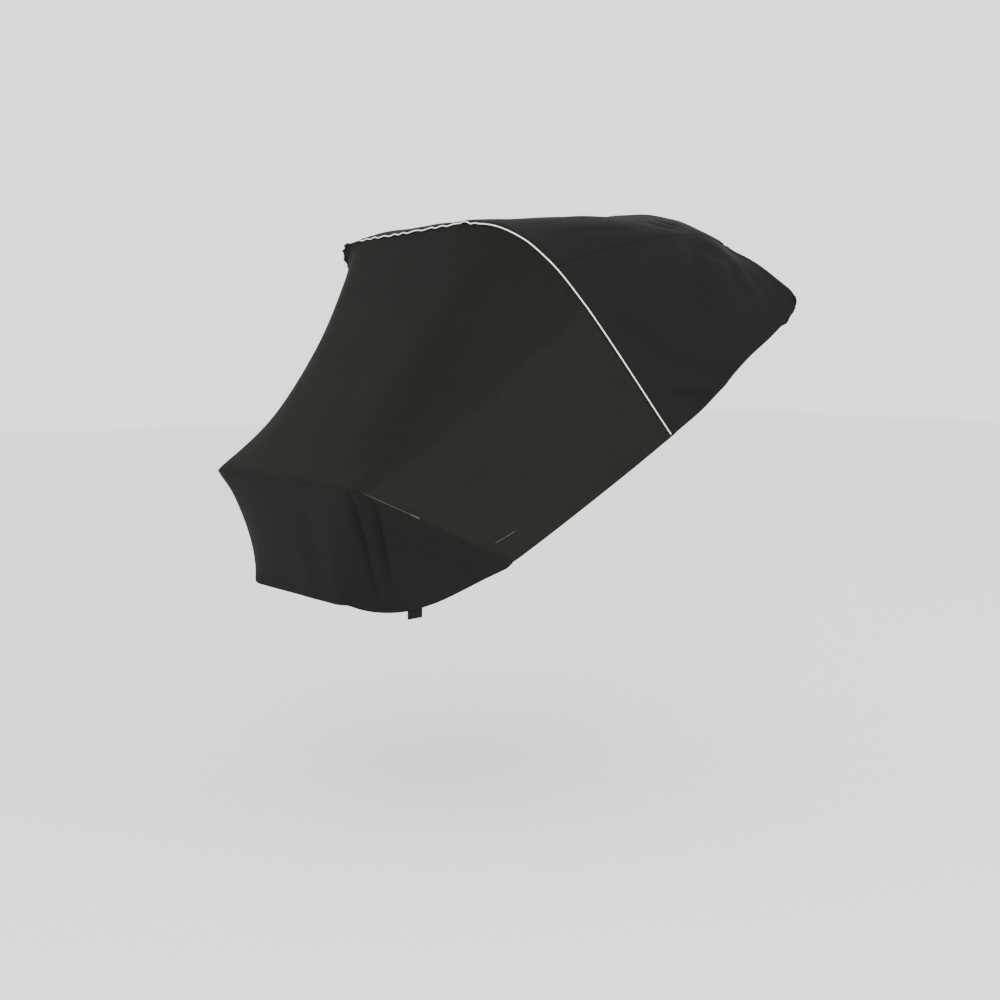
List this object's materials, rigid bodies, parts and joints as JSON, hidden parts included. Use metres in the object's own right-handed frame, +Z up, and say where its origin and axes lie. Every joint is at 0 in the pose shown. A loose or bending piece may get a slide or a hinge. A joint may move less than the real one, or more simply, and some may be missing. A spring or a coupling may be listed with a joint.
{
  "type": "fitted stroller insect net",
  "caption": "Fitted cover for a two-seat stroller: sheer net front between a piped brim and a closed foot panel, with a closed hood over the back.",
  "frame": {"origin": "in the middle plane, against the underside of the hood's crown, where the stroller's hood holds the cover up", "axes": "+Z up, -Y to the stroller's front, +X to the child's left"},
  "size_m": [0.686, 0.9415, 0.7208],
  "materials": {
    "net_cloth": "sheer black knitted net with a brown cast",
    "closed_cloth": "matt black woven cloth with a soft sheen",
    "piping_cloth": "reflective white piping",
    "webbing": "matt black webbing"
  },
  "bodies": {
    "root": {"net_panel": "net_cloth", "foot_panel": "closed_cloth", "canopy_top": "closed_cloth", "canopy_side_left": "closed_cloth", "canopy_side_right": "closed_cloth", "brim_piping": "piping_cloth", "strap_left": "webbing", "strap_right": "webbing"}
  },
  "joints": []
}
